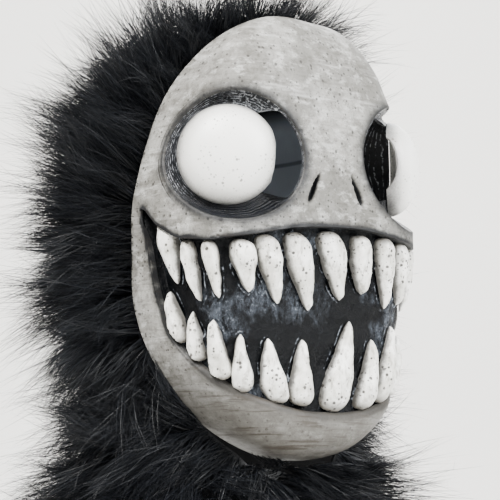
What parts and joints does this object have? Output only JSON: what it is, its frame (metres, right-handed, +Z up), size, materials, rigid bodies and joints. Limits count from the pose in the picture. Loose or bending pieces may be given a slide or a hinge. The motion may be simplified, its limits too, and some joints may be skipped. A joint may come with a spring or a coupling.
{
  "type": "monster face mask with fur hood",
  "caption": "Hard hollow monster face with bulging dome eyes, sight gaps beside them and a wide grin of separate pointed teeth, on a cloth hood covered in long fur.",
  "frame": {"origin": "inside of the hood's crown, where the top of the wearer's head meets it", "axes": "+Z up; the face looks along -Y; +X is the wearer's left"},
  "size_m": [0.2849, 0.2705, 0.4015],
  "materials": {
    "bone_paint": "satin, weathered bone paint with dark washes round the eyes and lips",
    "black_gum_paint": "glossy black",
    "ivory_paint": "satin, stained ivory",
    "white_eye_paint": "satin white with a dark fade at the edge",
    "charcoal_paint": "wrinkled, wet-looking charcoal",
    "lining_cloth": "matt knitted cloth",
    "fur_pile": "long black pile"
  },
  "bodies": {
    "root": {"face_shell": "bone_paint", "eye_dome_right": "white_eye_paint", "eye_dome_left": "white_eye_paint", "eye_socket_right": "charcoal_paint", "eye_socket_left": "charcoal_paint", "mouth_gums": "black_gum_paint", "tooth_upper_01": "ivory_paint", "tooth_upper_02": "ivory_paint", "tooth_upper_03": "ivory_paint", "tooth_upper_04": "ivory_paint", "tooth_upper_05": "ivory_paint", "tooth_upper_06": "ivory_paint", "tooth_upper_07": "ivory_paint", "tooth_upper_08": "ivory_paint", "tooth_upper_09": "ivory_paint", "tooth_upper_10": "ivory_paint", "tooth_upper_11": "ivory_paint", "tooth_upper_12": "ivory_paint", "tooth_upper_13": "ivory_paint", "tooth_upper_14": "ivory_paint", "tooth_lower_01": "ivory_paint", "tooth_lower_02": "ivory_paint", "tooth_lower_03": "ivory_paint", "tooth_lower_04": "ivory_paint", "tooth_lower_05": "ivory_paint", "tooth_lower_06": "ivory_paint", "tooth_lower_07": "ivory_paint", "tooth_lower_08": "ivory_paint", "tooth_lower_09": "ivory_paint", "tooth_lower_10": "ivory_paint", "tooth_lower_11": "ivory_paint", "tooth_lower_12": "ivory_paint", "tooth_lower_13": "ivory_paint", "hood_lining": "lining_cloth", "fur": "fur_pile"}
  },
  "joints": []
}
